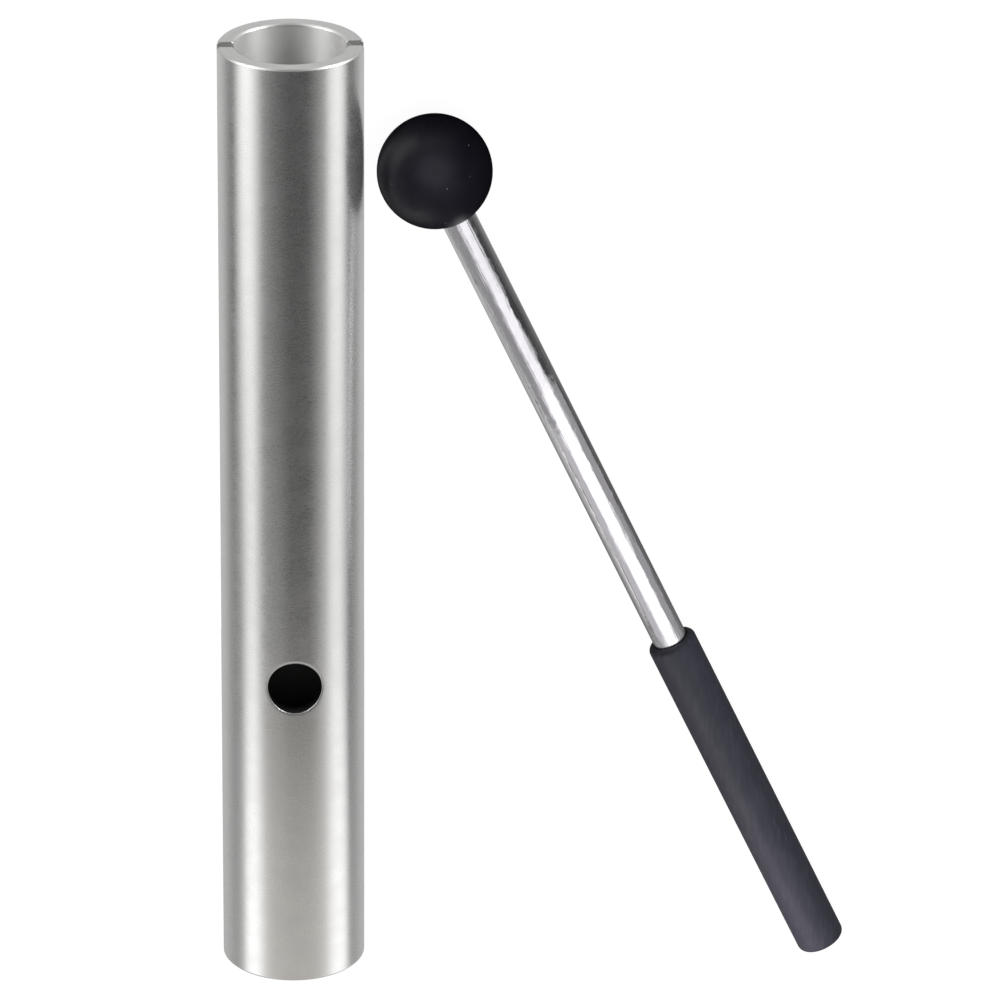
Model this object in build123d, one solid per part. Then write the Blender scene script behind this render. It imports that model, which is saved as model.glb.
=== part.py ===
from build123d import *
import math
import os

# Slotted resonator tube ("wah-wah" tube) with its striking mallet, in millimetres.
#
# The tube is a thick-walled metal tube, open at one end and closed at the other
# by a pressed-in plug. Two opposite slots run down from the open end and split
# that part of the wall into two tines, which ring when they are struck. A round
# thumb hole just past the slots opens and closes the air column.
# The mallet is a rubber ball on a thin chromed steel tube with a soft grip.
#
# Frame: +Z up, the floor is z = 0. The tube lies along Y with its open end
# towards +Y and its thumb hole facing +Z. The mallet lies beside it on the +X
# side, its ball near the open end and its grip splayed outwards, resting on the
# ball and on the lower edge of the grip's end. The origin is the centre of the
# footprint of both.

# ---------------------------------------------------------------- dimensions
# resonator tube
TUBE_OD = 32.0            # outside diameter
TUBE_ID = 24.5            # bore
TUBE_LEN = 220.0          # overall length
TUBE_END_CHAMFER = 0.5    # outside edges, both ends, and the mouth of the bore

# slots, two opposite, cut straight across the tube from the open end
SLOT_WIDTH = 3.0
SLOT_LEN = 140.0          # from the open end to the bottom of the round end

# thumb hole, through the top wall only
HOLE_DIA = 12.0
HOLE_FROM_MOUTH = 147.0   # open end to the hole's centre
HOLE_CHAMFER = 0.3

# plug pressed into the closed end, flush with the tube's end face; it sits in a
# seat turned slightly wider than the bore, against the shoulder that this leaves
PLUG_LEN = 10.0
PLUG_DIA = 25.5
PLUG_CHAMFER = 0.5

# mallet
BALL_DIA = 25.4
NECK_FLAT_DIA = 10.4      # small moulded flat where the shaft enters the ball
SHAFT_OD = 7.8
SHAFT_ID = 6.2
SHAFT_PAST_CENTRE = 3.0   # how far the shaft runs past the ball's centre
SOCKET_CLEAR = 0.5        # air left at the bottom of the ball's socket
BALL_TO_GRIP = 127.8      # ball's centre to the grip's upper end
BALL_TO_END = 214.3       # ball's centre to the grip's closed end
GRIP_DIA_TOP = 11.2
GRIP_DIA_END = 11.0
GRIP_EDGE_R = 1.4         # rounded edges of the sleeve, both ends
GRIP_END_WALL = 3.0       # thickness of the sleeve's closed end

# how the two lie together
BALL_X = 31.525           # ball's centre from the tube's axis, across
BALL_Y = 78.587           # ball's centre from the tube's middle, along
MALLET_ANGLE = 24.925     # degrees between the mallet and the tube, seen from above

# ---------------------------------------------------------------- placing
tube_r = TUBE_OD / 2
ball_r = BALL_DIA / 2
end_r = GRIP_DIA_END / 2

# The mallet touches the floor at the ball and at the rounding of the grip's
# end, so its axis drops towards the grip by this angle.
tilt = 0.03
for _ in range(40):
    drop = ball_r - GRIP_EDGE_R - (end_r - GRIP_EDGE_R) * math.cos(tilt)
    tilt = math.asin(drop / (BALL_TO_END - GRIP_EDGE_R))

phi = math.radians(MALLET_ANGLE)
mallet_dir = Vector(math.sin(phi) * math.cos(tilt),
                    -math.cos(phi) * math.cos(tilt),
                    -math.sin(tilt))


def disc_reach(centre, radius, direction, i):
    """Furthest a disc square to `direction` reaches along axis i, both ways."""
    half = radius * math.sqrt(1.0 - direction[i] ** 2)
    return centre[i] - half, centre[i] + half


# Footprint of tube and mallet, measured with the tube's middle at x = y = 0.
d = (mallet_dir.X, mallet_dir.Y, mallet_dir.Z)
ball_c = (BALL_X, BALL_Y, ball_r)
ring_s = BALL_TO_END - GRIP_EDGE_R
ring_c = tuple(ball_c[i] + ring_s * d[i] for i in range(3))
ring_x = disc_reach(ring_c, end_r - GRIP_EDGE_R, d, 0)
ring_y = disc_reach(ring_c, end_r - GRIP_EDGE_R, d, 1)
x_low, x_high = -tube_r, max(BALL_X + ball_r, ring_x[1] + GRIP_EDGE_R)
y_low = min(-TUBE_LEN / 2, ring_y[0] - GRIP_EDGE_R)
y_high = max(TUBE_LEN / 2, BALL_Y + ball_r)
shift_x = -(x_low + x_high) / 2
shift_y = -(y_low + y_high) / 2

tube_place = Location((shift_x, shift_y, tube_r))
mallet_plane = Plane(origin=(BALL_X + shift_x, BALL_Y + shift_y, ball_r),
                     x_dir=(math.cos(phi), math.sin(phi), 0),
                     z_dir=mallet_dir)


def revolve_profile(points):
    """Solid of revolution about local Z from (radius, z) points."""
    wire = Polyline(*[(r, 0, z) for r, z in points], close=True)
    return revolve(make_face(wire), axis=Axis.Z)


# ---------------------------------------------------------------- tube
# Local frame: axis on Y, middle of the tube at the origin, thumb hole on +Z.
half = TUBE_LEN / 2
c = TUBE_END_CHAMFER
bore_r = TUBE_ID / 2
seat_r = PLUG_DIA / 2
tube_blank = revolve_profile([
    (seat_r, -half), (tube_r - c, -half), (tube_r, -half + c),
    (tube_r, half - c), (tube_r - c, half), (bore_r + c, half),
    (bore_r, half - c), (bore_r, -half + PLUG_LEN), (seat_r, -half + PLUG_LEN)])
# local Z to Y, keeping the open end at +Y
tube_blank = Rot(X=-90) * tube_blank

slot_flat = half - SLOT_LEN + SLOT_WIDTH / 2      # y where the round end starts
slot_box = Pos(0, (slot_flat + half + 5) / 2, 0) * Box(
    TUBE_OD + 10, half + 5 - slot_flat, SLOT_WIDTH)
slot_end = Pos(0, slot_flat, 0) * (Rot(Y=90) * Cylinder(SLOT_WIDTH / 2, TUBE_OD + 10))
hole_y = half - HOLE_FROM_MOUTH
hole_cut = Pos(0, hole_y, tube_r) * Cylinder(HOLE_DIA / 2, TUBE_OD - 8)

tube = tube_blank - slot_box - slot_end - hole_cut

# break the outer edge of the thumb hole
hole_edges = [e for e in tube.edges()
              if abs(e.center(CenterOf.BOUNDING_BOX).Y - hole_y) < 0.6
              and e.bounding_box().min.Z > 0.8 * tube_r
              and e.bounding_box().max.Z > tube_r - 0.05
              and abs(e.bounding_box().size.Y - HOLE_DIA) < 0.5]
assert hole_edges, "the thumb hole's outer edge was not found"
tube = chamfer(hole_edges, HOLE_CHAMFER)
resonator_tube = tube_place * tube

# ---------------------------------------------------------------- plug
p = PLUG_CHAMFER
plug = revolve_profile([
    (0, -half), (seat_r - p, -half), (seat_r, -half + p),
    (seat_r, -half + PLUG_LEN - p), (seat_r - p, -half + PLUG_LEN),
    (0, -half + PLUG_LEN)])
end_plug = tube_place * (Rot(X=-90) * plug)

# ---------------------------------------------------------------- mallet
# Local frame: +Z along the mallet's axis from the ball towards the grip, the
# ball's centre at the origin.
shaft_r = SHAFT_OD / 2
neck_r = NECK_FLAT_DIA / 2
neck_s = math.sqrt(ball_r ** 2 - neck_r ** 2)
socket_s = -SHAFT_PAST_CENTRE - SOCKET_CLEAR

head = Sphere(ball_r)
head -= Pos(0, 0, neck_s + 5) * Box(30, 30, 10)
head -= Pos(0, 0, (socket_s + neck_s + 2) / 2) * Cylinder(shaft_r, neck_s + 2 - socket_s)
neck_edges = [e for e in head.edges().filter_by(GeomType.CIRCLE)
              if abs(e.center(CenterOf.GEOMETRY).Z - neck_s) < 0.05
              and abs(e.radius - neck_r) < 0.05]
head = fillet(neck_edges, 0.5)
mallet_head = mallet_plane.location * head

shaft_a = -SHAFT_PAST_CENTRE
shaft_b = BALL_TO_END - GRIP_END_WALL
e = 0.3                                           # deburred ends
shaft = revolve_profile([
    (SHAFT_ID / 2, shaft_a), (shaft_r - e, shaft_a), (shaft_r, shaft_a + e),
    (shaft_r, shaft_b - e), (shaft_r - e, shaft_b), (SHAFT_ID / 2, shaft_b)])
mallet_shaft = mallet_plane.location * shaft

g0, g1 = GRIP_DIA_TOP / 2, GRIP_DIA_END / 2
grip = revolve_profile([
    (shaft_r, BALL_TO_GRIP), (g0, BALL_TO_GRIP), (g1, BALL_TO_END),
    (0, BALL_TO_END), (0, shaft_b), (shaft_r, shaft_b)])
round_edges = [x for x in grip.edges().filter_by(GeomType.CIRCLE)
               if (abs(x.center(CenterOf.GEOMETRY).Z - BALL_TO_GRIP) < 0.01 and x.radius > g0 - 0.2)
               or (abs(x.center(CenterOf.GEOMETRY).Z - BALL_TO_END) < 0.01 and x.radius > g1 - 0.2)]
round_top = [x for x in round_edges if x.center(CenterOf.GEOMETRY).Z < BALL_TO_GRIP + 1]
round_end = [x for x in round_edges if x.center(CenterOf.GEOMETRY).Z > BALL_TO_GRIP + 1]
grip = fillet(round_end, GRIP_EDGE_R)
round_top = [x for x in grip.edges().filter_by(GeomType.CIRCLE)
             if abs(x.center(CenterOf.GEOMETRY).Z - BALL_TO_GRIP) < 0.01 and x.radius > g0 - 0.2]
grip = fillet(round_top, GRIP_EDGE_R - 0.2)
mallet_grip = mallet_plane.location * grip

# ---------------------------------------------------------------- write
os.makedirs("parts", exist_ok=True)
for name, shape in [("resonator_tube", resonator_tube), ("end_plug", end_plug),
                    ("mallet_head", mallet_head), ("mallet_shaft", mallet_shaft),
                    ("mallet_grip", mallet_grip)]:
    export_step(shape, os.path.join("parts", name + ".step"))
    bb = shape.bounding_box()
    print(name, "volume", round(shape.volume, 1), "valid", shape.is_valid,
          "x", round(bb.min.X, 3), round(bb.max.X, 3),
          "y", round(bb.min.Y, 3), round(bb.max.Y, 3),
          "z", round(bb.min.Z, 3), round(bb.max.Z, 3))
print("tube axis x", round(shift_x, 4), "middle y", round(shift_y, 4),
      "hole y", round(shift_y + hole_y, 4), "tilt deg", round(math.degrees(tilt), 4))
print("ball centre", [round(v, 4) for v in mallet_plane.origin], "direction",
      [round(v, 6) for v in mallet_dir])
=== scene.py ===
import math

import bmesh
import bpy
from mathutils import Matrix, Vector


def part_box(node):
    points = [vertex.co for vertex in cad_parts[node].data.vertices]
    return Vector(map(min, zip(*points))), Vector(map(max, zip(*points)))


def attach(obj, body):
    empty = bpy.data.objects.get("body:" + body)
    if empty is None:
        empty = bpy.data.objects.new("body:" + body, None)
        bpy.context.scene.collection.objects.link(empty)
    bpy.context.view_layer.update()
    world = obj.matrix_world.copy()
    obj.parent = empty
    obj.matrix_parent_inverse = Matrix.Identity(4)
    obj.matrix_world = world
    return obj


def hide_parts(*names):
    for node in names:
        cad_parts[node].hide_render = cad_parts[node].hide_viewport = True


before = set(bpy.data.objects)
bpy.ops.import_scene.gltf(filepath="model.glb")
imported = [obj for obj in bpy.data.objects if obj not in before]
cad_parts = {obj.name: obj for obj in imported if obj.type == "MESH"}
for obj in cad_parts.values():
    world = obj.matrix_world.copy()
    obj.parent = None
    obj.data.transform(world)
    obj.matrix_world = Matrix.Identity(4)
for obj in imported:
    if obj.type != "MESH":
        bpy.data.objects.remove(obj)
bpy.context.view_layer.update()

scene = bpy.context.scene
scene.view_settings.view_transform = "Standard"
scene.view_settings.look = "None"
scene.view_settings.exposure = 0.0
scene.view_settings.gamma = 1.0

# ------------------------------------------------------------------ camera
cam_data = bpy.data.cameras.new("camera")
cam = bpy.data.objects.new("camera", cam_data)
scene.collection.objects.link(cam)
cam_data.sensor_width = 36.0
cam_data.lens = 277.785
cam_data.clip_start = 0.05
cam_data.clip_end = 60.0
right = Vector((0.9984639, 0.0072801, 0.0549252)).normalized()
up = Vector((0.0156983, 0.9135344, -0.4064584)).normalized()
back = right.cross(up).normalized()
up = back.cross(right).normalized()
rot = Matrix((right, up, back)).transposed().to_4x4()
cam.matrix_world = Matrix.Translation(Vector((-0.1000594, 0.7036071, 1.5833478))) @ rot
scene.camera = cam


# ------------------------------------------------------------------ helpers
def new_material(name):
    m = bpy.data.materials.new(name)
    m.use_nodes = True
    nt = m.node_tree
    nt.nodes.clear()
    out = nt.nodes.new("ShaderNodeOutputMaterial")
    bsdf = nt.nodes.new("ShaderNodeBsdfPrincipled")
    nt.links.new(bsdf.outputs["BSDF"], out.inputs["Surface"])
    return m, nt, bsdf, out


def node(nt, kind, **props):
    n = nt.nodes.new(kind)
    for k, v in props.items():
        setattr(n, k, v)
    return n


def math_node(nt, op, a, b=None, c=None):
    n = nt.nodes.new("ShaderNodeMath")
    n.operation = op
    for i, v in enumerate((a, b, c)):
        if v is None:
            continue
        if isinstance(v, (int, float)):
            n.inputs[i].default_value = v
        else:
            nt.links.new(v, n.inputs[i])
    return n.outputs[0]


def ramp(nt, fac, stops, interp="LINEAR"):
    n = nt.nodes.new("ShaderNodeValToRGB")
    n.color_ramp.interpolation = interp
    els = n.color_ramp.elements
    while len(els) > 1:
        els.remove(els[-1])
    els[0].position, els[0].color = stops[0][0], stops[0][1]
    for p, c in stops[1:]:
        e = els.new(p)
        e.color = c
    if fac is not None:
        nt.links.new(fac, n.inputs["Fac"])
    return n


def grey(v, a=1.0):
    return (v, v, v, a)


# ------------------------------------------------------------------ dimensions
# The object's own sizes in millimetres, as in its CAD model. The asserts below
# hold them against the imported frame.
MM = 0.001
TUBE_R, BORE_R, SEAT_R = 16.0, 12.25, 12.75
TUBE_HALF, PLUG_LEN = 110.0, 10.0
SLOT_W, SLOT_END_C = 1.5, -28.5      # half width, and y of the round end's centre
HOLE_R, HOLE_Y = 6.0, -37.0
BALL_R, NECK_R = 12.7, 5.2
SHAFT_R, SHAFT_IN_R, SHAFT_A, SHAFT_B = 3.9, 3.1, -3.0, 211.3
GRIP_A, GRIP_B, GRIP_R_A, GRIP_R_B = 127.8, 214.3, 5.6, 5.5

t_lo, t_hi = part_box("resonator_tube")
h_lo, h_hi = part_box("mallet_head")
s_lo, s_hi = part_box("mallet_shaft")
g_lo, g_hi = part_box("mallet_grip")
TUBE_C = (t_lo + t_hi) / 2
BALL_C = (h_lo + h_hi) / 2
MALLET_DIR = Vector((0.42119, -0.906341, -0.03383)).normalized()
assert (t_hi - t_lo - Vector((2 * TUBE_R, 2 * TUBE_HALF, 2 * TUBE_R)) * MM).length < 2e-4
assert (h_hi - h_lo - Vector((2 * BALL_R,) * 3) * MM).length < 2e-4
end_guess = BALL_C + MALLET_DIR * GRIP_B * MM
assert abs(end_guess.y - GRIP_R_B * MM * math.sqrt(1 - MALLET_DIR.y ** 2) - g_lo.y) < 1.5e-3


def finish_mesh(me):
    bm = bmesh.new()
    bm.from_mesh(me)
    bmesh.ops.remove_doubles(bm, verts=bm.verts, dist=1e-7)
    bmesh.ops.recalc_face_normals(bm, faces=bm.faces)
    bm.to_mesh(me)
    bm.free()
    for p in me.polygons:
        p.use_smooth = True
    me.update()


def add_object(name, me, body, *replaced):
    o = bpy.data.objects.new(name, me)
    scene.collection.objects.link(o)
    w = o.modifiers.new("weighted_normals", "WEIGHTED_NORMAL")
    w.mode = "FACE_AREA"
    w.weight = 50
    w.keep_sharp = True
    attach(o, body)
    if replaced:
        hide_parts(*replaced)
    return o


def arc(cx, cy, r, a0, a1, n):
    """Points on an arc, angles in degrees from +r axis towards +s."""
    return [(cx + r * math.cos(math.radians(a0 + (a1 - a0) * i / n)),
             cy + r * math.sin(math.radians(a0 + (a1 - a0) * i / n))) for i in range(n + 1)]


def frange(a, b, n):
    return [a + (b - a) * i / n for i in range(n + 1)]


def lathe(profile, n, origin, axis):
    """Closed surface of revolution. profile is (radius, distance, material index of
    the band that starts there); points on the axis have radius 0. A profile that
    starts off the axis is joined back to its first point."""
    axis = Vector(axis).normalized()
    ref = Vector((0, 0, 1)) if abs(axis.z) < 0.9 else Vector((1, 0, 0))
    e1 = axis.cross(ref).normalized()
    e2 = axis.cross(e1).normalized()
    verts, faces, mats, rings = [], [], [], []
    closed = profile[0][0] > 1e-9
    for r, s, _ in profile:
        c = origin + axis * s * MM
        if r < 1e-9:
            rings.append([len(verts)] * n)
            verts.append(c)
        else:
            rings.append(list(range(len(verts), len(verts) + n)))
            for i in range(n):
                a = 2 * math.pi * i / n
                verts.append(c + (e1 * math.cos(a) + e2 * math.sin(a)) * r * MM)
    pairs = [(k, k + 1) for k in range(len(profile) - 1)]
    if closed:
        pairs.append((len(profile) - 1, 0))
    for k, l in pairs:
        a, b = rings[k], rings[l]
        for i in range(n):
            j = (i + 1) % n
            f = []
            for v in (a[i], a[j], b[j], b[i]):
                if v not in f:
                    f.append(v)
            if len(f) > 2:
                faces.append(f)
                mats.append(profile[k][2])
    me = bpy.data.meshes.new("lathe")
    me.from_pydata([tuple(v) for v in verts], [], faces)
    for p, m in zip(me.polygons, mats):
        p.material_index = m
    finish_mesh(me)
    return me


# ------------------------------------------------------------------ tube mesh
# One closed shell: outer wall, bore, rim, two slots with round ends, thumb hole
# and plug seat, with every edge broken by a small round.
OUTER, BORE, CUT, HOLE, SEAT = 0, 1, 2, 3, 4


def tube_mesh():
    rim = 0.62          # reach of the 0.5 chamfer and the small rounds at its ends
    er = 0.16           # round along the slots
    hr, hr_front = 0.35, 0.50   # break of the thumb hole's edge, and what its mouth side adds
    nb = 3
    A1, A2, A3, A4 = 14.0, 56.0, 124.0, 166.0
    m, mh = 4, 7
    nB, n1, n2, n3 = 14, 16, 26, 56
    y_a, y_b, y_c = -45.5, -34.0, SLOT_END_C
    rows_mid1 = frange(y_a, y_b, 10)
    rows_mid2 = frange(y_b, y_c, 6)
    rows_slot = frange(y_c, TUBE_HALF - rim, 44)

    verts, faces, mats, index = [], [], [], {}

    def vert(x, y, z):
        key = (round(x, 5), round(y, 5), round(z, 5))
        if key not in index:
            index[key] = len(verts)
            verts.append((x, y, z))
        return index[key]

    def quad(pts, mat):
        f = []
        for p in pts:
            v = vert(*p)
            if v not in f:
                f.append(v)
        if len(f) > 2:
            faces.append(f)
            mats.append(mat)

    def on(r, a, y):
        return (r * math.cos(math.radians(a)), y, r * math.sin(math.radians(a)))

    def grid(r, columns, rows, mat):
        for c0, c1 in zip(columns, columns[1:]):
            for y0, y1 in zip(rows, rows[1:]):
                quad([on(r, c0, y0), on(r, c1, y0), on(r, c1, y1), on(r, c0, y1)], mat)

    def strip(p, q, mat):
        for a, b, c, d in zip(p, p[1:], q[1:], q):
            quad([a, b, c, d], mat)

    def slot_edge_angle(r, w):
        return math.degrees(math.asin(w / r))

    def half_columns(r, w, lower):
        """Columns of the slotted part: the upper or the lower half shell."""
        d = slot_edge_angle(r, w)
        if not lower:
            c = [d + (A1 - d) * i / m for i in range(m + 1)]
            c += frange(A1, A2, n1)[1:] + frange(A2, A3, n2)[1:] + frange(A3, A4, n1)[1:]
            c += [A4 + (180 - d - A4) * i / m for i in range(1, m + 1)]
            return c
        c = [180 + d + (A1 - d) * i / m for i in range(m + 1)]
        c += frange(180 + A1, 360 - A1, n3)[1:]
        c += [360 - A1 + (A1 - d) * i / m for i in range(1, m + 1)]
        return c

    full = (frange(A1, A2, n1) + frange(A2, A3, n2)[1:] + frange(A3, A4, n1)[1:]
            + frange(A4, 180 + A1, nB)[1:] + frange(180 + A1, 360 - A1, n3)[1:]
            + frange(360 - A1, 360 + A1, nB)[1:])

    def slot_path_outer(side):
        """Border of the patch round a slot's end, as (angle, y), from the +angle side."""
        base = 0.0 if side == 0 else 180.0
        up = [(A1, y) for y in reversed(rows_mid2)]
        bottom = [(a, y_b) for a in frange(A1, -A1, nB)[1:]]
        down = [(-A1, y) for y in rows_mid2[1:]]
        return [(base + a, y) for a, y in up + bottom + down]

    border_n = len(slot_path_outer(0)) - 1

    def slot_end_outline(side, r, w):
        """The slot's round end on a cylinder of radius r, as (angle, y)."""
        base = 0.0 if side == 0 else 180.0
        out = []
        for i in range(border_n + 1):
            t = math.pi * i / border_n
            z, y = w * math.cos(t), y_c - w * math.sin(t)
            out.append((base + math.degrees(math.asin(z / r)), y))
        return out

    def hole_border():
        pts = [(A2, y) for y in rows_mid1[:-1] + rows_mid2]
        pts += [(a, y_c) for a in frange(A2, A3, n2)[1:]]
        pts += [(A3, y) for y in reversed(rows_mid1[:-1] + rows_mid2)][1:]
        pts += [(a, y_a) for a in frange(A3, A2, n2)[1:-1]]
        return pts

    hb = hole_border()

    hole_t = [math.atan2(y - HOLE_Y, -math.radians(a - 90) * TUBE_R) for a, y in hb]
    hole_h = [hr + hr_front * max(0.0, math.sin(t)) ** 2 for t in hole_t]

    def hole_outline(rs, rhs):
        """The hole's edge as (angle, y), with a cylinder and a hole radius for each point."""
        return [(math.degrees(math.acos(rh * math.cos(t) / r)), HOLE_Y + rh * math.sin(t))
                for t, r, rh in zip(hole_t, rs, rhs)]

    def same(v):
        return [v] * len(hb)

    def sheet(r, w, rh, base_rows, mat):
        for lower in (False, True):
            grid(r, half_columns(r, w, lower), rows_slot, mat)
        grid(r, full, base_rows, mat)
        right_part = frange(A1, A2, n1)
        left_part = frange(A3, A4, n1)
        back_part = frange(180 + A1, 360 - A1, n3)
        under0 = frange(360 - A1, 360 + A1, nB)
        under1 = frange(A4, 180 + A1, nB)
        for cols in (right_part, left_part, back_part, under0, under1):
            grid(r, cols, rows_mid1, mat)
        for cols in (right_part, left_part, back_part):
            grid(r, cols, rows_mid2, mat)
        for side in (0, 1):
            outer, inner = slot_path_outer(side), slot_end_outline(side, r, w)
            layers = [[(a0 + (a1 - a0) * j / m, y0 + (y1 - y0) * j / m)
                       for (a0, y0), (a1, y1) in zip(outer, inner)] for j in range(m + 1)]
            for p, q in zip(layers, layers[1:]):
                strip([on(r, a, y) for a, y in p], [on(r, a, y) for a, y in q], mat)
        inner = hole_outline(same(r), rh)
        layers = [[(a0 + (a1 - a0) * j / mh, y0 + (y1 - y0) * j / mh)
                   for (a0, y0), (a1, y1) in zip(hb, inner)] for j in range(mh + 1)]
        for p, q in zip(layers, layers[1:]):
            strip([on(r, a, y) for a, y in p + p[:1]], [on(r, a, y) for a, y in q + q[:1]], mat)

    w0 = SLOT_W + er
    base_rows = frange(-TUBE_HALF + rim, y_a, 20)
    inner_base = frange(-TUBE_HALF + PLUG_LEN, y_a, 17)
    sheet(TUBE_R, w0, [HOLE_R + h for h in hole_h], base_rows, OUTER)
    rh_in = same(HOLE_R + 0.12)
    sheet(BORE_R, w0, rh_in, inner_base, BORE)

    def bezier(p, c, q, n):
        return [tuple((1 - t) ** 2 * p[i] + 2 * t * (1 - t) * c[i] + t * t * q[i] for i in (0, 1))
                for t in (k / n for k in range(n + 1))]

    # a chamfered corner with its two edges softened, from the wall to the face
    corner = (bezier((0.62, 0.0), (0.62, 0.12), (0.535, 0.205), 3)
              + bezier((0.205, 0.535), (0.12, 0.62), (0.0, 0.62), 3))
    nf = 6

    def rim_profile(d):
        """From the outer wall over the mouth's face to the bore, inset by d."""
        q = (rim - d) / rim
        out = [(TUBE_R - rim + u * q, TUBE_HALF - rim + v * q) for u, v in corner]
        a, b = TUBE_R - rim, BORE_R + rim
        out += [(a + (b - a) * i / nf, TUBE_HALF - d) for i in range(1, nf)]
        out += [(BORE_R + rim - u * q, TUBE_HALF - rim + v * q) for u, v in reversed(corner)]
        return out

    prof = rim_profile(0.0)
    for lower in (False, True):
        rings = [[on(r, a, y) for a in half_columns(r, w0, lower)] for r, y in prof]
        for p, q in zip(rings, rings[1:]):
            strip(p, q, CUT)

    # slots: edge rounds, side walls, mouth corners and round ends
    KW = 3

    def lerp(p, q, t):
        return tuple(p[h] + (q[h] - p[h]) * t for h in range(3))

    def slot_point(side, sgn, r, w, y):
        x = math.sqrt(r * r - w * w)
        return (x, y, sgn * w) if side == 0 else (-x, y, -sgn * w)

    stages = [(SLOT_W + er * (1 - math.sin(math.pi / 2 * k / nb)),
               er * (1 - math.cos(math.pi / 2 * k / nb))) for k in range(nb + 1)]
    for side in (0, 1):
        for sgn in (1, -1):
            outlines = []
            for w, d in stages:
                o = [slot_point(side, sgn, TUBE_R - d, w, y) for y in rows_slot[:-1]]
                o += [slot_point(side, sgn, r, w, y) for r, y in rim_profile(d)]
                o += [slot_point(side, sgn, BORE_R + d, w, y) for y in reversed(rows_slot[:-1])]
                outlines.append(o)
            for p, q in zip(outlines, outlines[1:]):
                strip(p, q, CUT)
            last = outlines[-1]
            n, nr = len(last), len(rows_slot) - 1
            for j in range(nr):
                a, b, c, e = last[j], last[j + 1], last[n - 2 - j], last[n - 1 - j]
                for i in range(KW):
                    quad([lerp(a, e, i / KW), lerp(b, c, i / KW), lerp(b, c, (i + 1) / KW),
                          lerp(a, e, (i + 1) / KW)], CUT)
            a, e = last[nr], last[n - 1 - nr]
            quad(last[nr:n - nr] + [lerp(e, a, i / KW) for i in range(1, KW)], CUT)
        ends = []
        for w, d in stages:
            ends.append([on(TUBE_R - d, a, y) for a, y in slot_end_outline(side, TUBE_R - d, w)])
        inner_ends = []
        for w, d in stages:
            inner_ends.append([on(BORE_R + d, a, y) for a, y in slot_end_outline(side, BORE_R + d, w)])
        for p, q in zip(ends, ends[1:]):
            strip(p, q, CUT)
        for p, q in zip(inner_ends, inner_ends[1:]):
            strip(p, q, CUT)
        p, q = ends[-1], inner_ends[-1]
        mids = [[lerp(a, b, i / KW) for a, b in zip(p, q)] for i in range(KW + 1)]
        for a, b in zip(mids, mids[1:]):
            strip(a, b, CUT)

    # thumb hole: outer round, wall, inner round
    rings = []

    def hole_ring(rs, rhs):
        return [on(r, a, y) for r, (a, y) in zip(rs, hole_outline(rs, rhs))]

    for k in range(6):
        t = math.pi / 2 * k / 5
        rings.append(hole_ring([TUBE_R - h * (1 - math.cos(t)) for h in hole_h],
                               [HOLE_R + h * (1 - math.sin(t)) for h in hole_h]))
    n_round = len(rings) - 1
    r_bot = BORE_R + 0.12
    for i in range(1, 6):
        rings.append(hole_ring([TUBE_R - h + (r_bot - TUBE_R + h) * i / 5 for h in hole_h], same(HOLE_R)))
    rings.append(hole_ring(same(BORE_R), rh_in))
    for i, (p, q) in enumerate(zip(rings, rings[1:])):
        strip(p + p[:1], q + q[:1], CUT if i < n_round else HOLE)

    # base: round, face, seat and shoulder
    base_prof = [(TUBE_R - rim + u, -TUBE_HALF + rim - v) for u, v in corner]
    base_prof += [(TUBE_R - rim + (SEAT_R + 0.15 - TUBE_R + rim) * i / 4, -TUBE_HALF) for i in range(1, 5)]
    n_face = len(base_prof) - 1
    base_prof += [(SEAT_R, -TUBE_HALF + 0.15)]
    base_prof += [(SEAT_R, y) for y in frange(-TUBE_HALF + 0.15, -TUBE_HALF + PLUG_LEN, 4)[1:]]
    base_prof += [(BORE_R, -TUBE_HALF + PLUG_LEN)]
    rings = [[on(r, a, y) for a in full] for r, y in base_prof]
    for i, (p, q) in enumerate(zip(rings, rings[1:])):
        strip(p, q, CUT if i <= n_face else SEAT)

    me = bpy.data.meshes.new("resonator_tube_shell")
    me.from_pydata([tuple(TUBE_C[i] + v[i] * MM for i in range(3)) for v in verts], [], faces)
    for p, k in zip(me.polygons, mats):
        p.material_index = k
    finish_mesh(me)
    return me


tube = add_object("resonator_tube_shell", tube_mesh(), "tube", "resonator_tube")

# ------------------------------------------------------------------ plug
plug_prof = ([(0.0, -TUBE_HALF, 0)]
             + [(r, -TUBE_HALF, 0) for r in frange(2.0, SEAT_R - 0.5, 6)]
             + [(SEAT_R - 0.5 + 0.5 * math.sin(t), -TUBE_HALF + 0.5 - 0.5 * math.cos(t), 0)
                for t in (math.pi / 2 * i / 5 for i in range(1, 6))]
             + [(SEAT_R, s, 0) for s in frange(-TUBE_HALF + 0.5, -TUBE_HALF + PLUG_LEN - 0.5, 4)[1:]]
             + [(SEAT_R - 0.5 + 0.5 * math.cos(t), -TUBE_HALF + PLUG_LEN - 0.5 + 0.5 * math.sin(t), 0)
                for t in (math.pi / 2 * i / 5 for i in range(1, 6))]
             + [(r, -TUBE_HALF + PLUG_LEN, 0) for r in reversed(frange(2.0, SEAT_R - 0.5, 6)[:-1])]
             + [(0.0, -TUBE_HALF + PLUG_LEN, 0)])
plug = add_object("end_plug_turned", lathe(plug_prof, 128, TUBE_C, (0, 1, 0)), "tube", "end_plug")

# ------------------------------------------------------------------ mallet
neck_s = math.sqrt(BALL_R ** 2 - NECK_R ** 2)
lip = 0.5
ball_prof = [(0.0, -BALL_R, 0)]
t_end = math.acos(-(neck_s - 0.18) / BALL_R)
for i in range(1, 97):
    t = t_end * i / 96
    ball_prof.append((BALL_R * math.sin(t), -BALL_R * math.cos(t), 0))
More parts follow.
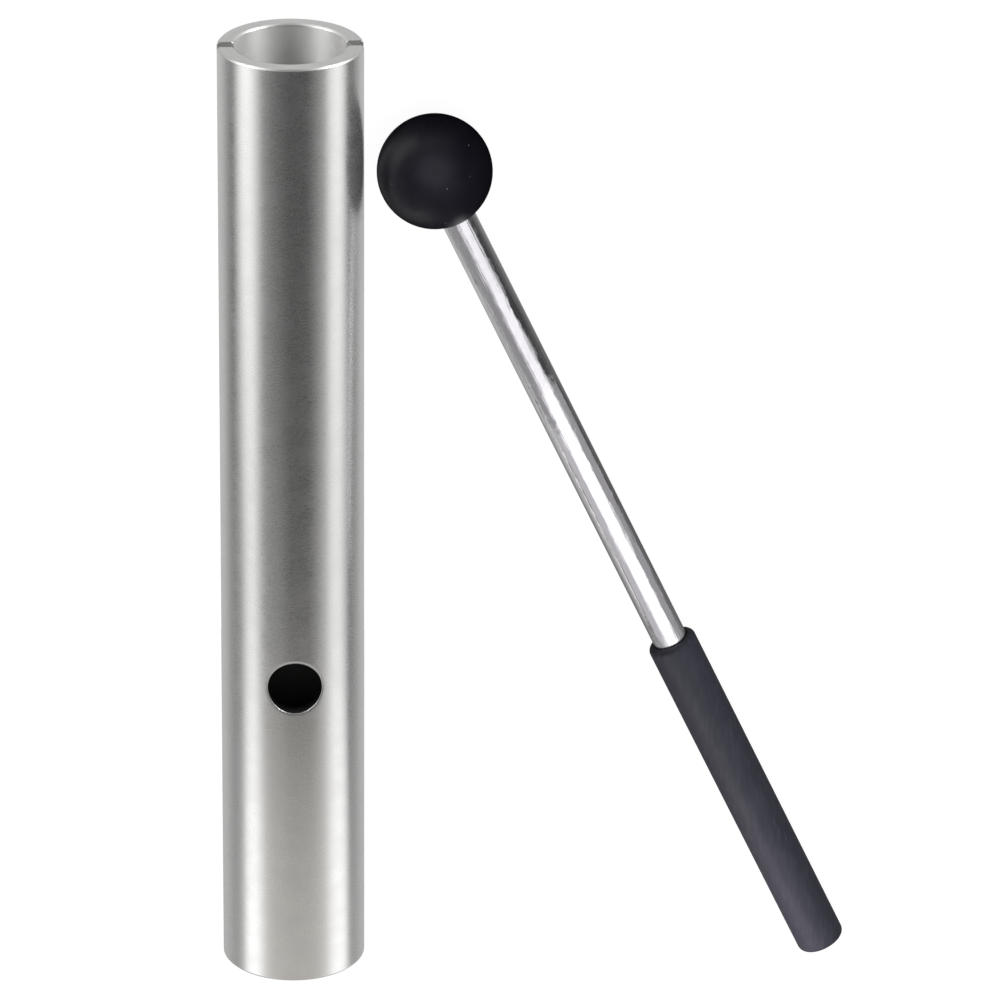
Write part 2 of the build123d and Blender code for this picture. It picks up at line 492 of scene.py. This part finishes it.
# moulded flat round the shaft, its edge rounded, then the blind socket
r_last = ball_prof[-1][0]
ball_prof += [(r_last - 0.12, neck_s - 0.07, 0), (r_last - 0.34, neck_s - 0.01, 0),
              (SHAFT_R + 0.55, neck_s, 0), (SHAFT_R + 0.25, neck_s - 0.02, 0),
              (SHAFT_R + 0.08, neck_s - 0.12, 0), (SHAFT_R, neck_s - 0.35, 0)]
ball_prof += [(SHAFT_R, s, 0) for s in frange(neck_s - 0.35, -3.5, 8)[1:]]
ball_prof += [(2.0, -3.5, 0), (0.0, -3.5, 0)]
head = add_object("mallet_head_ball", lathe(ball_prof, 160, BALL_C, MALLET_DIR), "mallet", "mallet_head")

e = 0.3
shaft_prof = ([(SHAFT_IN_R, SHAFT_A, 0), (SHAFT_R - e, SHAFT_A, 0), (SHAFT_R, SHAFT_A + e, 0)]
              + [(SHAFT_R, s, 0) for s in frange(SHAFT_A + e, SHAFT_B - e, 60)[1:]]
              + [(SHAFT_R - e, SHAFT_B, 0), (SHAFT_IN_R, SHAFT_B, 0)]
              + [(SHAFT_IN_R, s, 0) for s in reversed(frange(SHAFT_A, SHAFT_B, 20)[1:-1])])
shaft = add_object("mallet_shaft_tube", lathe(shaft_prof, 96, BALL_C, MALLET_DIR), "mallet", "mallet_shaft")

ra, rb = 1.25, 1.4
grip_prof = [(SHAFT_R, GRIP_A + 0.5, 0), (SHAFT_R + 0.05, GRIP_A + 0.2, 0), (SHAFT_R + 0.2, GRIP_A + 0.04, 0)]
grip_prof += [(r, s, 0) for s, r in arc(GRIP_A + ra, GRIP_R_A - ra, ra, 180, 90, 8)]
n_body = 60
for i in range(1, n_body):
    f = i / n_body
    s = GRIP_A + ra + (GRIP_B - rb - GRIP_A - ra) * f
    grip_prof.append((GRIP_R_A + (GRIP_R_B - GRIP_R_A) * f, s, 0))
grip_prof += [(r, s, 0) for s, r in arc(GRIP_B - rb, GRIP_R_B - rb, rb, 90, 0, 8)]
grip_prof += [(2.4, GRIP_B + 0.0, 0), (0.0, GRIP_B, 0)]
inner = [(0.0, SHAFT_B, 0), (2.0, SHAFT_B, 0), (SHAFT_R, SHAFT_B, 0)]
inner += [(SHAFT_R, s, 0) for s in reversed(frange(GRIP_A + 0.5, SHAFT_B, 12)[1:-1])]


grip = add_object("mallet_grip_sleeve", lathe(grip_prof + inner, 96, BALL_C, MALLET_DIR), "mallet", "mallet_grip")

# ------------------------------------------------------------------ studio
# The tube hangs in its own soft tunnel of light, the mallet has its own strips,
# and everything lies on a white table. The lights that belong to one piece are
# linked to it, so each is shaped without touching the others.
AX, AZ = TUBE_C.x, TUBE_C.z


def receivers(name, *objs):
    c = bpy.data.collections.new(name)
    for o in objs:
        c.objects.link(o)
    return c


LIT_TUBE = receivers("lit_tube", tube, plug)
LIT_SHAFT = receivers("lit_shaft", shaft)
LIT_HEAD = receivers("lit_head", head)
LIT_GRIP = receivers("lit_grip", grip)

world = bpy.data.worlds.new("studio")
scene.world = world
world.use_nodes = True
wt = world.node_tree
wt.nodes.clear()
w_out = wt.nodes.new("ShaderNodeOutputWorld")
tc = wt.nodes.new("ShaderNodeTexCoord")
sep = wt.nodes.new("ShaderNodeSeparateXYZ")
wt.links.new(tc.outputs["Generated"], sep.inputs[0])
ang = math_node(wt, "ARCTAN2", sep.outputs["X"], sep.outputs["Z"])
fac = math_node(wt, "MULTIPLY_ADD", ang, 1.0 / (2 * math.pi), 0.5)
P = lambda deg: deg / 360.0 + 0.5
tent = ramp(wt, fac, [
    (P(-180), grey(0.30)), (P(-112), grey(0.25)), (P(-98), grey(0.35)),
    (P(-88), grey(0.85)), (P(-64), grey(0.90)), (P(-50), grey(0.45)),
    (P(-30), grey(0.22)), (P(0), grey(0.16)), (P(30), grey(0.18)),
    (P(50), grey(0.35)), (P(62), grey(0.80)), (P(88), grey(0.85)),
    (P(98), grey(0.35)), (P(112), grey(0.25)), (P(180), grey(0.30))])
bg_tent = wt.nodes.new("ShaderNodeBackground")
bg_tent.inputs["Strength"].default_value = 1.0
wt.links.new(tent.outputs["Color"], bg_tent.inputs["Color"])
bg_cam = wt.nodes.new("ShaderNodeBackground")
bg_cam.inputs["Color"].default_value = (1, 1, 1, 1)
bg_cam.inputs["Strength"].default_value = 1.0
lp = wt.nodes.new("ShaderNodeLightPath")
mix = wt.nodes.new("ShaderNodeMixShader")
wt.links.new(lp.outputs["Is Camera Ray"], mix.inputs["Fac"])
wt.links.new(bg_tent.outputs[0], mix.inputs[1])
wt.links.new(bg_cam.outputs[0], mix.inputs[2])
wt.links.new(mix.outputs[0], w_out.inputs["Surface"])


def stage_mesh(name, verts, faces):
    me = bpy.data.meshes.new(name)
    me.from_pydata(verts, [], faces)
    me.update()
    o = bpy.data.objects.new(name, me)
    scene.collection.objects.link(o)
    return o


def plane(name, cx, cy, z, sx, sy):
    return stage_mesh(name, [(cx - sx, cy - sy, z), (cx + sx, cy - sy, z),
                             (cx + sx, cy + sy, z), (cx - sx, cy + sy, z)], [(0, 1, 2, 3)])


def glow(name):
    m = bpy.data.materials.new(name)
    m.use_nodes = True
    nt = m.node_tree
    nt.nodes.clear()
    out = nt.nodes.new("ShaderNodeOutputMaterial")
    em = nt.nodes.new("ShaderNodeEmission")
    nt.links.new(em.outputs[0], out.inputs["Surface"])
    co = nt.nodes.new("ShaderNodeTexCoord")
    sp = nt.nodes.new("ShaderNodeSeparateXYZ")
    nt.links.new(co.outputs["Object"], sp.inputs[0])
    return m, nt, em, sp


def mix_color(nt, fac, a, b):
    n = nt.nodes.new("ShaderNodeMix")
    n.data_type = "RGBA"
    for i, v in ((0, fac), (6, a), (7, b)):
        if hasattr(v, "is_output"):
            nt.links.new(v, n.inputs[i])
        else:
            n.inputs[i].default_value = v
    return n.outputs[2]


def map_range(nt, v, a, b, c=0.0, d=1.0, smooth=False):
    n = nt.nodes.new("ShaderNodeMapRange")
    n.interpolation_type = "SMOOTHSTEP" if smooth else "LINEAR"
    nt.links.new(v, n.inputs["Value"])
    n.inputs["From Min"].default_value = a
    n.inputs["From Max"].default_value = b
    n.inputs["To Min"].default_value = c
    n.inputs["To Max"].default_value = d
    return n.outputs[0]


# white table, seen by the camera and lighting the pieces from below
floor = plane("floor", 0, 0, -0.0002, 4, 4)
m, nt, bsdf, out = new_material("floor_white")
bsdf.inputs["Base Color"].default_value = (0.16, 0.16, 0.16, 1)
bsdf.inputs["Roughness"].default_value = 0.9
bsdf.inputs["Specular IOR Level"].default_value = 0.0
bsdf.inputs["Emission Color"].default_value = (1, 1, 1, 1)
bsdf.inputs["Emission Strength"].default_value = 0.93
# seen from underneath the table is clear, so that the underside can be looked at
geo = nt.nodes.new("ShaderNodeNewGeometry")
clear = nt.nodes.new("ShaderNodeBsdfTransparent")
side = nt.nodes.new("ShaderNodeMixShader")
nt.links.new(geo.outputs["Backfacing"], side.inputs["Fac"])
nt.links.new(bsdf.outputs[0], side.inputs[1])
nt.links.new(clear.outputs[0], side.inputs[2])
nt.links.new(side.outputs[0], out.inputs["Surface"])
floor.data.materials.append(m)
floor.visible_glossy = False
floor.visible_diffuse = False

# what the shiny pieces see of the table: bright close to the tube, greyer
# further out, and paler towards the closed end
table = plane("floor_reflected", 0, 0, -0.0004, 4, 4)
m, nt, em, sp = glow("floor_reflected")
dx = math_node(nt, "ABSOLUTE", math_node(nt, "SUBTRACT", sp.outputs["X"], AX))
near = ramp(nt, math_node(nt, "MULTIPLY", dx, 4.0),
            [(0.0, grey(0.56)), (0.13, grey(0.50)), (0.22, grey(0.24)), (0.34, grey(0.09)), (1.0, grey(0.08))])
far = ramp(nt, math_node(nt, "MULTIPLY", dx, 4.0),
           [(0.0, grey(0.46)), (0.13, grey(0.44)), (0.26, grey(0.38)), (0.42, grey(0.36)), (1.0, grey(0.36))])
ty = map_range(nt, sp.outputs["Y"], 0.02, -0.19)
nt.links.new(mix_color(nt, ty, near.outputs[0], far.outputs[0]), em.inputs["Color"])
em.inputs["Strength"].default_value = 1.0
table.data.materials.append(m)
table.visible_camera = False
table.visible_shadow = False
table.light_linking.receiver_collection = receivers("lit_by_table", tube, plug, shaft, grip)

# the tunnel round the tube
T_R, T_N = 0.16, 96
tv, tf = [], []
for i in range(T_N + 1):
    a = math.radians(-97 + 194 * i / T_N)
    for y in (-0.60, 0.42):
        tv.append((AX + T_R * math.sin(a), y, AZ + T_R * math.cos(a)))
for i in range(T_N):
    tf.append((2 * i, 2 * i + 2, 2 * i + 3, 2 * i + 1))
tunnel = stage_mesh("tube_tunnel", tv, tf)
m, nt, em, sp = glow("tube_tunnel")
ang = math_node(nt, "ARCTAN2", math_node(nt, "SUBTRACT", sp.outputs["X"], AX),
                math_node(nt, "SUBTRACT", sp.outputs["Z"], AZ))
fac = math_node(nt, "MULTIPLY_ADD", ang, 1.0 / (2 * math.pi), 0.5)
WARM = lambda v: (v, v * 0.965, v * 0.91, 1.0)
mouth = ramp(nt, fac, [
    (P(-99), grey(0.06)), (P(-92), grey(0.48)), (P(-80), grey(1.10)), (P(-66), grey(1.06)),
    (P(-54), grey(0.60)), (P(-44), grey(0.20)), (P(-26), grey(0.07)), (P(-6), grey(0.015)),
    (P(22), grey(0.01)), (P(40), grey(0.15)), (P(50), grey(0.24)), (P(60), grey(0.82)),
    (P(74), grey(1.04)), (P(84), grey(0.84)), (P(95), grey(0.10))])
middle = ramp(nt, fac, [
    (P(-99), grey(0.10)), (P(-88), grey(0.24)), (P(-76), grey(0.76)), (P(-64), grey(0.93)),
    (P(-54), grey(0.46)), (P(-45), grey(0.17)), (P(-22), grey(0.145)), (P(-6), grey(0.03)),
    (P(24), grey(0.02)), (P(36), grey(0.15)), (P(50), grey(0.40)), (P(62), grey(0.82)),
    (P(76), grey(0.88)), (P(88), grey(0.48)), (P(97), grey(0.20))])
closed = ramp(nt, fac, [
    (P(-99), grey(0.34)), (P(-88), grey(0.50)), (P(-78), grey(1.32)), (P(-64), grey(1.36)),
    (P(-54), grey(1.05)), (P(-45), WARM(0.68)), (P(-32), WARM(0.56)), (P(0), WARM(0.53)),
    (P(30), WARM(0.54)), (P(48), WARM(0.62)), (P(58), grey(0.98)), (P(68), grey(1.28)),
    (P(86), grey(1.28)), (P(95), grey(0.60)), (P(99), grey(0.42))])
f1 = map_range(nt, sp.outputs["Y"], 0.05, -0.075)
f2 = ramp(nt, map_range(nt, sp.outputs["Y"], -0.095, -0.195),
          [(0.0, grey(0)), (0.10, grey(0.12)), (0.24, grey(0.56)), (0.50, grey(0.76)), (1.0, grey(1.0))])
c = mix_color(nt, f1, mouth.outputs[0], middle.outputs[0])
nt.links.new(mix_color(nt, f2.outputs[0], c, closed.outputs[0]), em.inputs["Color"])
em.inputs["Strength"].default_value = 1.0
tunnel.data.materials.append(m)
tunnel.visible_camera = False
tunnel.visible_diffuse = False
tunnel.visible_shadow = False
tunnel.visible_transmission = False
tunnel.light_linking.receiver_collection = LIT_TUBE


def area(name, loc, target, size_x, size_y, power, color=(1, 1, 1), glossy=False, to=None, along=None):
    d = bpy.data.lights.new(name, "AREA")
    d.shape = "RECTANGLE"
    d.size, d.size_y = size_x, size_y
    d.energy = power
    d.color = color
    o = bpy.data.objects.new(name, d)
    scene.collection.objects.link(o)
    z = (Vector(loc) - Vector(target)).normalized()
    y = Vector(along or (0, 1, 0))
    y = (y - z * y.dot(z)).normalized()
    x = y.cross(z)
    o.matrix_world = Matrix.Translation(Vector(loc)) @ Matrix((x, y, z)).transposed().to_4x4()
    o.visible_glossy = glossy
    if to is not None:
        o.light_linking.receiver_collection = to
    if to in (LIT_SHAFT, LIT_HEAD, LIT_GRIP):
        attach(o, "mallet")
    return o


area("top_soft", (0.0, 0.0, 1.6), (0, 0, 0), 1.6, 1.6, 14.0)

# mouth: light from the front that reaches into the bore
MOUTH = Vector((AX, 0.113, AZ - 0.004))
area("mouth_right", MOUTH + Vector((0.36, 0.26, 0.06)), MOUTH, 0.12, 0.12, 1.25, glossy=True, to=LIT_TUBE, along=(0, 0, 1))
area("mouth_left", MOUTH + Vector((-0.36, 0.26, 0.06)), MOUTH, 0.12, 0.12, 1.25, glossy=True, to=LIT_TUBE, along=(0, 0, 1))
area("mouth_front", MOUTH + Vector((0, 0.45, 0.18)), MOUTH, 0.36, 0.24, 0.04, glossy=True, to=LIT_TUBE)

# shaft: a bright strip over it and a softer one on its left
CAM_POS = Vector((-0.1000594, 0.7036071, 1.5833478))
MID = BALL_C + MALLET_DIR * 70 * MM
VIEW = (CAM_POS - MID).normalized()
SIDE = VIEW.cross(MALLET_DIR).normalized()
if SIDE.x > 0:
    SIDE = -SIDE
NRM = MALLET_DIR.cross(SIDE).normalized()
if NRM.z < 0:
    NRM = -NRM
SLIDE = -MALLET_DIR * (VIEW.dot(MALLET_DIR) / VIEW.dot(NRM))


def shaft_light(name, deg, width, length, centre_s, power, to=LIT_SHAFT, dist=0.10, color=(0.99, 0.975, 1.0)):
    """A strip along the mallet, deg round it from the mirror direction, left positive."""
    a = math.radians(deg)
    d = NRM * math.cos(a) + SIDE * math.sin(a)
    base = BALL_C + MALLET_DIR * centre_s * MM
    loc = base + d * dist + SLIDE * dist
    return area(name, loc, loc - d, width, length, power, color, True, to, MALLET_DIR)


shaft_light("shaft_key", -13, 0.058, 0.44, 60, 0.088, dist=0.05)
shaft_light("shaft_key_left", 20, 0.010, 0.44, 60, 0.0072, dist=0.05)
shaft_light("shaft_key_grip", 2, 0.062, 0.20, 158, 0.022, dist=0.05)
shaft_light("shaft_fill", 54, 0.072, 0.44, 60, 0.0300, dist=0.05)
shaft_light("shaft_fill_grip", 48, 0.050, 0.12, 125, 0.0045, dist=0.05)
shaft_light("shaft_right", -82, 0.066, 0.44, 60, 0.0050, dist=0.05)
shaft_light("shaft_right_grip", -78, 0.086, 0.16, 135, 0.0125, dist=0.05)

# head: a soft patch near the camera's side
hd = (CAM_POS - BALL_C).normalized()
area("head_patch", BALL_C + hd * 0.5, BALL_C, 0.20, 0.20, 1.08, (0.86, 0.84, 1.0), True, LIT_HEAD)
area("head_low", BALL_C + Vector((-0.12, -0.40, 0.16)), BALL_C, 0.30, 0.12, 0.42, glossy=True, to=LIT_HEAD)

# grip: light that grows towards its end, from the left
tip = BALL_C + MALLET_DIR * GRIP_B * MM
area("grip_end", tip + Vector((-0.035, -0.030, 0.055)), tip, 0.05, 0.05, 0.10,
     (1.0, 0.96, 0.95), False, LIT_GRIP)
area("grip_end_soft", tip + Vector((-0.09, -0.10, 0.12)), tip, 0.14, 0.14, 0.16,
     (1.0, 0.96, 0.95), True, LIT_GRIP)
area("grip_over", BALL_C + MALLET_DIR * 0.15 + NRM * 0.25 + SLIDE * 0.25, BALL_C + MALLET_DIR * 0.15,
     0.15, 0.3, 0.32, (0.96, 0.98, 1.0), True, LIT_GRIP, MALLET_DIR)

# and a soft one over its right side and the end next to the shaft
area("grip_right", BALL_C + MALLET_DIR * 0.06 - SIDE * 0.20 + NRM * 0.16, BALL_C + MALLET_DIR * 0.16,
     0.12, 0.12, 0.60, (0.98, 0.98, 1.0), False, LIT_GRIP)

# ------------------------------------------------------------------ materials
def local(nt, origin=(0, 0, 0)):
    """The piece's own coordinates in millimetres from origin."""
    co = nt.nodes.new("ShaderNodeTexCoord")
    n = nt.nodes.new("ShaderNodeVectorMath")
    n.operation = "SUBTRACT"
    nt.links.new(co.outputs["Object"], n.inputs[0])
    n.inputs[1].default_value = origin
    k = nt.nodes.new("ShaderNodeVectorMath")
    k.operation = "SCALE"
    nt.links.new(n.outputs[0], k.inputs[0])
    k.inputs["Scale"].default_value = 1000.0
    return k.outputs[0]


def stretched(nt, v, s):
    n = nt.nodes.new("ShaderNodeVectorMath")
    n.operation = "MULTIPLY"
    nt.links.new(v, n.inputs[0])
    n.inputs[1].default_value = s
    return n.outputs[0]


def noise(nt, v, scale, detail=2.0, rough=0.5):
    n = nt.nodes.new("ShaderNodeTexNoise")
    nt.links.new(v, n.inputs["Vector"])
    n.inputs["Scale"].default_value = scale
    n.inputs["Detail"].default_value = detail
    n.inputs["Roughness"].default_value = rough
    return n.outputs["Fac"]


def bump(nt, bsdf, height, dist, strength=1.0, after=None):
    n = nt.nodes.new("ShaderNodeBump")
    nt.links.new(height, n.inputs["Height"])
    n.inputs["Distance"].default_value = dist
    n.inputs["Strength"].default_value = strength
    if after is not None:
        nt.links.new(after, n.inputs["Normal"])
    nt.links.new(n.outputs[0], bsdf.inputs["Normal"])
    return n.outputs[0]


def tangent(nt, bsdf):
    tg = node(nt, "ShaderNodeTangent", direction_type="RADIAL", axis="Y")
    nt.links.new(tg.outputs[0], bsdf.inputs["Tangent"])


# outside of the tube: turned and brushed, short marks running round it
m, nt, bsdf, out = new_material("satin_metal")
bsdf.inputs["Metallic"].default_value = 0.94
bsdf.inputs["Specular IOR Level"].default_value = 0.3
bsdf.inputs["Anisotropic"].default_value = 0.6
bsdf.inputs["Anisotropic Rotation"].default_value = 0.25
tangent(nt, bsdf)
v = local(nt, TUBE_C)
streak = noise(nt, stretched(nt, v, (0.8, 7.5, 0.8)), 1.0, 2.0, 0.6)
fine = noise(nt, stretched(nt, v, (2.2, 16.0, 2.2)), 1.0, 1.0)
mottle = noise(nt, stretched(nt, v, (0.16, 0.22, 0.16)), 1.0, 3.0)
worn = map_range(nt, streak, 0.38, 0.62, smooth=True)
sp = nt.nodes.new("ShaderNodeSeparateXYZ")
nt.links.new(v, sp.inputs[0])
wear = map_range(nt, sp.outputs["Y"], -30.0, -62.0, 1.0, 0.35, smooth=True)
nt.links.new(math_node(nt, "ADD", map_range(nt, mottle, 0.3, 0.7, 0.25, 0.31),
                       math_node(nt, "MULTIPLY", map_range(nt, worn, 0, 1, -0.02, 0.03), wear)),
             bsdf.inputs["Roughness"])
c = mix_color(nt, worn, (0.845, 0.845, 0.835, 1), (0.89, 0.89, 0.875, 1))
nt.links.new(mix_color(nt, map_range(nt, mottle, 0.35, 0.7), c, (0.84, 0.835, 0.83, 1)), bsdf.inputs["Base Color"])
b1 = bump(nt, bsdf, math_node(nt, "MULTIPLY", streak, wear), 0.000008, 0.7)
bump(nt, bsdf, math_node(nt, "MULTIPLY", fine, wear), 0.000002, 0.4, b1)
m_outer = m

# cut faces and edges: brighter, faced on the lathe
m, nt, bsdf, out = new_material("cut_metal")
bsdf.inputs["Metallic"].default_value = 0.94
v = local(nt, TUBE_C)
sp = nt.nodes.new("ShaderNodeSeparateXYZ")
nt.links.new(v, sp.inputs[0])
rr = math_node(nt, "SQRT", math_node(nt, "ADD", math_node(nt, "MULTIPLY", sp.outputs["X"], sp.outputs["X"]),
                                     math_node(nt, "MULTIPLY", sp.outputs["Z"], sp.outputs["Z"])))
cv = nt.nodes.new("ShaderNodeCombineXYZ")
nt.links.new(math_node(nt, "MULTIPLY", rr, 9.0), cv.inputs[0])
nt.links.new(math_node(nt, "MULTIPLY", sp.outputs["Y"], 9.0), cv.inputs[1])
nt.links.new(math_node(nt, "MULTIPLY", sp.outputs["X"], 0.12), cv.inputs[2])
ring = noise(nt, cv.outputs[0], 1.0, 2.0)
nt.links.new(map_range(nt, ring, 0.3, 0.7, 0.26, 0.38), bsdf.inputs["Roughness"])
nt.links.new(mix_color(nt, ring, (0.73, 0.73, 0.72, 1), (0.80, 0.80, 0.79, 1)), bsdf.inputs["Base Color"])
bump(nt, bsdf, ring, 0.000006, 0.6)
m_cut = m

# bore: bored, coarser marks, duller; its base colour is painted shade, darkening deeper into the bore
m, nt, bsdf, out = new_material("bored_metal_painted_depth_shade")
bsdf.inputs["Metallic"].default_value = 0.80
bsdf.inputs["Anisotropic"].default_value = 0.7
bsdf.inputs["Anisotropic Rotation"].default_value = 0.25
tangent(nt, bsdf)
v = local(nt, TUBE_C)
sp = nt.nodes.new("ShaderNodeSeparateXYZ")
nt.links.new(v, sp.inputs[0])
# painted shade: the colour goes dark from the mouth inwards, standing in for the shade inside the tube
bore_painted_depth_shade = map_range(nt, sp.outputs["Y"], 98.0, 55.0, smooth=True)
marks = noise(nt, stretched(nt, v, (0.30, 6.0, 0.30)), 1.0, 3.0, 0.6)
nt.links.new(map_range(nt, marks, 0.3, 0.7, 0.36, 0.46), bsdf.inputs["Roughness"])
c = mix_color(nt, marks, (0.80, 0.80, 0.79, 1), (0.88, 0.875, 0.865, 1))
nt.links.new(mix_color(nt, bore_painted_depth_shade, c, (0.20, 0.20, 0.195, 1)), bsdf.inputs["Base Color"])
bump(nt, bsdf, marks, 0.000012, 0.6)
m_bore = m

# wall of the thumb hole: matt, its near-black colour is painted shade standing in for the dark inside of the hole
m, nt, bsdf, out = new_material("hole_wall_painted_shade")
v = local(nt, TUBE_C)
g = noise(nt, v, 3.0, 3.0)
# painted shade: near-black base colour on what is bare metal, so the hole reads dark
nt.links.new(mix_color(nt, g, (0.004, 0.004, 0.004, 1), (0.010, 0.010, 0.009, 1)), bsdf.inputs["Base Color"])
nt.links.new(map_range(nt, g, 0.3, 0.7, 0.75, 0.9), bsdf.inputs["Roughness"])
bsdf.inputs["Specular IOR Level"].default_value = 0.15
bump(nt, bsdf, g, 0.00002, 0.4)
m_hole_painted_shade = m

for mat in (m_outer, m_bore, m_cut, m_hole_painted_shade, m_bore):
    tube.data.materials.append(mat)

# plug: faced in rings
m, nt, bsdf, out = new_material("faced_metal")
bsdf.inputs["Metallic"].default_value = 0.85
v = local(nt, TUBE_C)
sp = nt.nodes.new("ShaderNodeSeparateXYZ")
nt.links.new(v, sp.inputs[0])
rr = math_node(nt, "SQRT", math_node(nt, "ADD", math_node(nt, "MULTIPLY", sp.outputs["X"], sp.outputs["X"]),
                                     math_node(nt, "MULTIPLY", sp.outputs["Z"], sp.outputs["Z"])))
cv = nt.nodes.new("ShaderNodeCombineXYZ")
nt.links.new(math_node(nt, "MULTIPLY", rr, 5.5), cv.inputs[0])
nt.links.new(math_node(nt, "MULTIPLY", sp.outputs["Y"], 5.5), cv.inputs[1])
ring = noise(nt, cv.outputs[0], 1.0, 2.0)
scuff = noise(nt, v, 0.5, 4.0)
nt.links.new(math_node(nt, "ADD", map_range(nt, ring, 0.3, 0.7, 0.22, 0.34),
                       map_range(nt, scuff, 0.4, 0.8, 0.0, 0.10)), bsdf.inputs["Roughness"])
nt.links.new(mix_color(nt, ring, (0.74, 0.74, 0.73, 1), (0.84, 0.84, 0.82, 1)), bsdf.inputs["Base Color"])
bump(nt, bsdf, ring, 0.00002, 0.7)
plug.data.materials.append(m)

# shaft: chrome with faint finger smears and a few hairlines
m, nt, bsdf, out = new_material("chrome")
bsdf.inputs["Metallic"].default_value = 1.0
v = local(nt, BALL_C)
smear = noise(nt, stretched(nt, v, (0.10, 0.06, 0.2)), 1.0, 4.0, 0.6)
dot = nt.nodes.new("ShaderNodeVectorMath")
dot.operation = "DOT_PRODUCT"
nt.links.new(v, dot.inputs[0])
dot.inputs[1].default_value = MALLET_DIR
back_along = nt.nodes.new("ShaderNodeVectorMath")
back_along.operation = "SCALE"
back_along.inputs[0].default_value = MALLET_DIR
nt.links.new(math_node(nt, "MULTIPLY", dot.outputs["Value"], -2.92), back_along.inputs["Scale"])
drawn_v = nt.nodes.new("ShaderNodeVectorMath")
drawn_v.operation = "MULTIPLY_ADD"
nt.links.new(v, drawn_v.inputs[0])
drawn_v.inputs[1].default_value = (3.0, 3.0, 3.0)
nt.links.new(back_along.outputs[0], drawn_v.inputs[2])
hair = noise(nt, drawn_v.outputs[0], 1.0, 3.0, 0.6)
nt.links.new(math_node(nt, "ADD", map_range(nt, smear, 0.40, 0.70, 0.085, 0.16),
                       map_range(nt, hair, 0.50, 0.75, 0.0, 0.07)), bsdf.inputs["Roughness"])
nt.links.new(mix_color(nt, map_range(nt, smear, 0.4, 0.75), (0.87, 0.86, 0.885, 1), (0.79, 0.785, 0.80, 1)),
             bsdf.inputs["Base Color"])
b1 = bump(nt, bsdf, smear, 0.00003, 0.3)
pitted = math_node(nt, "MULTIPLY", hair, map_range(nt, smear, 0.42, 0.60, 0.15, 1.0))
bump(nt, bsdf, pitted, 0.00010, 1.0, b1)
shaft.data.materials.append(m)

# head: moulded rubber, fine grain and a little dust
m, nt, bsdf, out = new_material("ball_rubber")
v = local(nt, BALL_C)
grain = noise(nt, v, 4.5, 3.0, 0.6)
cloud = noise(nt, v, 0.22, 3.0)
vor = nt.nodes.new("ShaderNodeTexVoronoi")
vor.inputs["Scale"].default_value = 0.42
nt.links.new(v, vor.inputs["Vector"])
pick = nt.nodes.new("ShaderNodeSeparateColor")
nt.links.new(vor.outputs["Color"], pick.inputs[0])
dust = math_node(nt, "MULTIPLY", map_range(nt, vor.outputs["Distance"], 0.085, 0.05),
                 math_node(nt, "GREATER_THAN", pick.outputs[0], 0.80))
c = mix_color(nt, cloud, (0.0048, 0.0048, 0.0085, 1), (0.0085, 0.0085, 0.0135, 1))
nt.links.new(mix_color(nt, dust, c, (0.16, 0.16, 0.165, 1)), bsdf.inputs["Base Color"])
nt.links.new(math_node(nt, "ADD", map_range(nt, grain, 0.3, 0.7, 0.40, 0.50),
                       map_range(nt, cloud, 0.3, 0.7, -0.03, 0.04)), bsdf.inputs["Roughness"])
bump(nt, bsdf, grain, 0.00002, 0.5)
head.data.materials.append(m)

# grip: matt sleeve, fine grain drawn along it
m, nt, bsdf, out = new_material("grip_rubber")
v = local(nt, BALL_C)
grain = noise(nt, v, 5.0, 3.0, 0.6)
drawn = noise(nt, stretched(nt, v, (1.2, 0.18, 1.2)), 1.0, 3.0)
cloud = noise(nt, v, 0.12, 3.0)
c = mix_color(nt, cloud, (0.0155, 0.0155, 0.0235, 1), (0.0225, 0.0225, 0.031, 1))
nt.links.new(mix_color(nt, map_range(nt, drawn, 0.45, 0.8), c, (0.027, 0.027, 0.035, 1)), bsdf.inputs["Base Color"])
nt.links.new(map_range(nt, grain, 0.3, 0.7, 0.54, 0.68), bsdf.inputs["Roughness"])
bsdf.inputs["Specular IOR Level"].default_value = 0.4
b1 = bump(nt, bsdf, grain, 0.00002, 0.6)
bump(nt, bsdf, drawn, 0.00003, 0.3, b1)
grip.data.materials.append(m)
